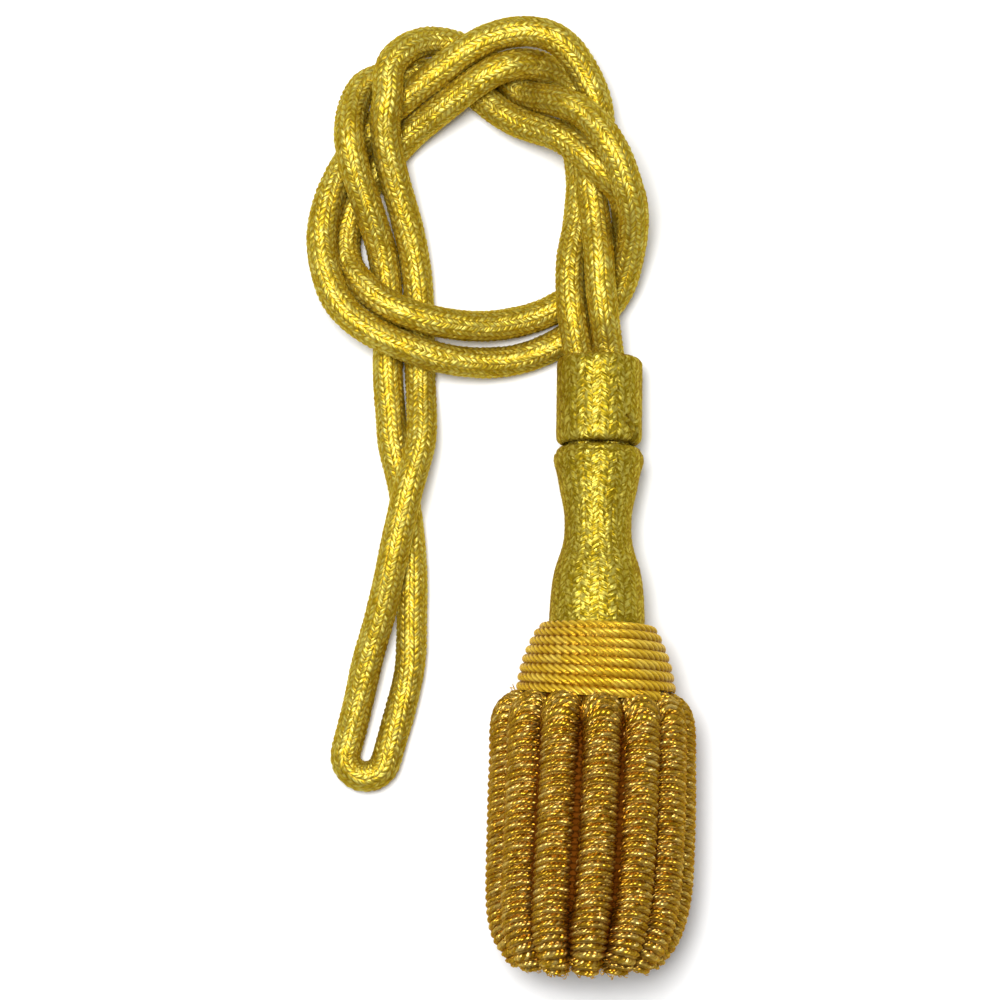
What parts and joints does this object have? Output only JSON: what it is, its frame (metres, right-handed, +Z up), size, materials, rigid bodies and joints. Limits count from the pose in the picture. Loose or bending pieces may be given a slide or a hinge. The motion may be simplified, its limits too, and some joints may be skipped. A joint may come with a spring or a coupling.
{
  "type": "bullion tassel",
  "caption": "Gold bullion tassel with a doubled braided cord knotted into a wrist loop, a braided slide, a waisted neck and a silk rope binding, lying flat",
  "frame": {"origin": "on the surface, under the middle of the tassel's box without its cord", "axes": "+Z up from the surface, +Y along the tassel from its skirt to its slide, +X to the right seen from above"},
  "size_m": [0.0768, 0.1839, 0.0361],
  "materials": {
    "cord": "round braid of gilt thread, glinting",
    "slide": "woven gilt thread, glinting",
    "neck": "woven gilt thread, glinting",
    "rope_band": "twisted silk rope, soft sheen",
    "bullion_fringe": "coiled gilt cord, glinting"
  },
  "bodies": {
    "root": {"cord": "cord", "slide": "slide", "neck": "neck", "rope_band": "rope_band", "bullion_fringe": "bullion_fringe"}
  },
  "joints": []
}
